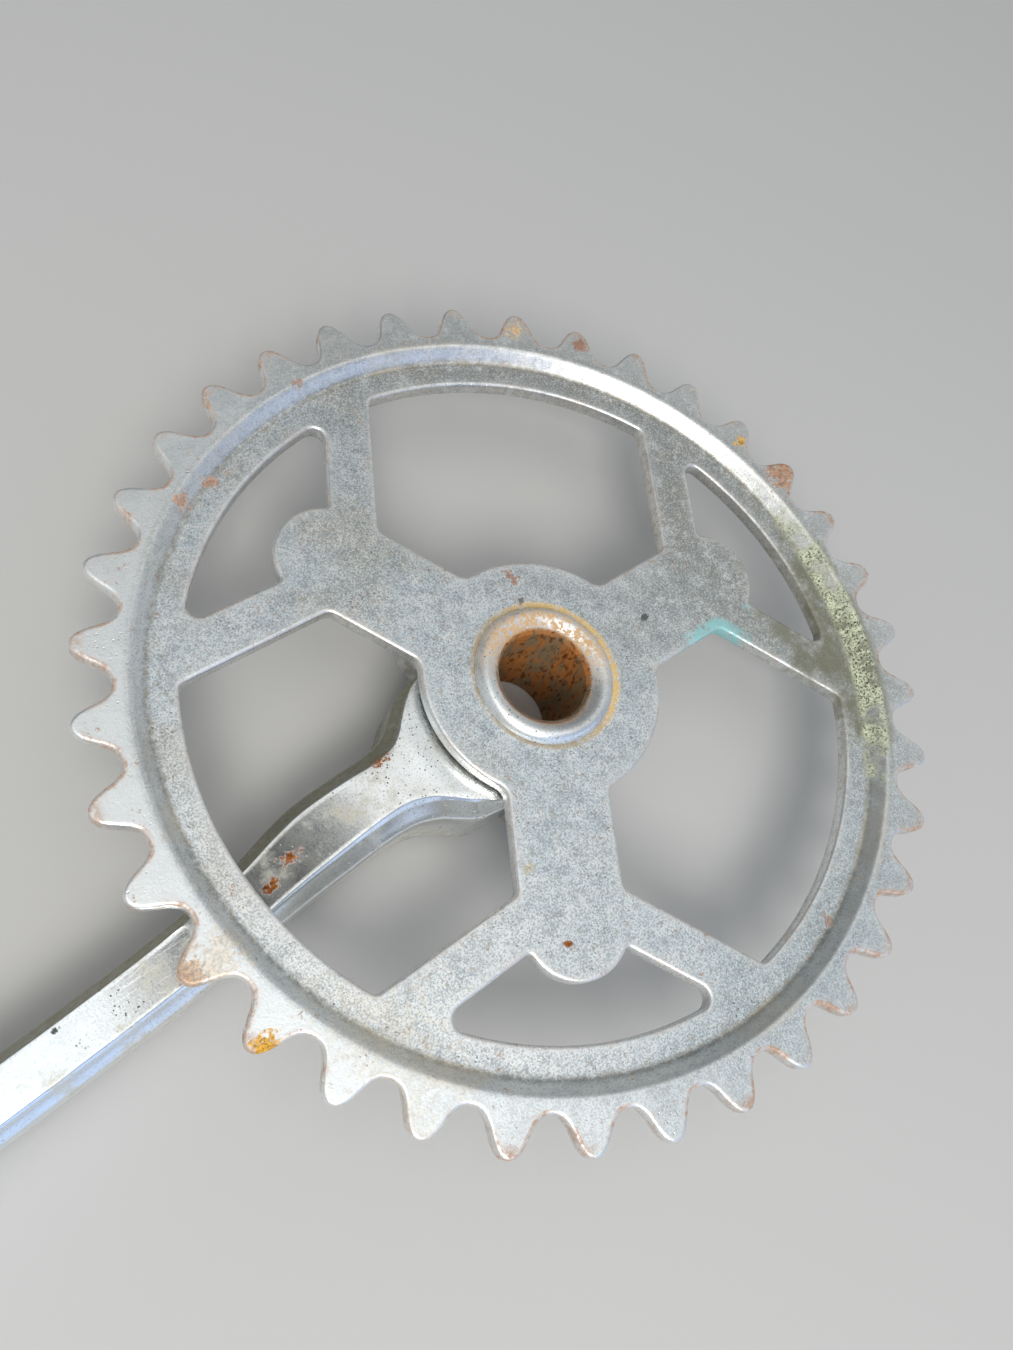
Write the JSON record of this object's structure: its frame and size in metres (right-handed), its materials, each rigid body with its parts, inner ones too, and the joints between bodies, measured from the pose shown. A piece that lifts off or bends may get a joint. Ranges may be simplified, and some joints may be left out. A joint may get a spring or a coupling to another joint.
{
  "type": "bicycle crankset",
  "caption": "Drive-side steel crank for a cottered axle: forged arm with a pedal eye and a dished, pressed chainring swaged on its boss.",
  "frame": {"origin": "bottom centre of the bounding box, on the ground that the outboard side lies on", "axes": "+Z is the axle direction, from the outboard side to the inboard side; the crank arm runs from the axle at +X towards -X, where the pedal eye is"},
  "size_m": [0.2398, 0.1504, 0.0254],
  "materials": {
    "plated_steel": "dull plated pressed steel, worn, stained and rust-flecked",
    "chrome": "bright chromed forging with pits and small rust spots",
    "zinc_steel": "zinc-plated fastener steel, dulled"
  },
  "bodies": {
    "root": {"chainring": "plated_steel", "crank_arm": "chrome", "cotter_pin": "zinc_steel", "cotter_washer": "zinc_steel", "cotter_nut": "zinc_steel"}
  },
  "joints": []
}
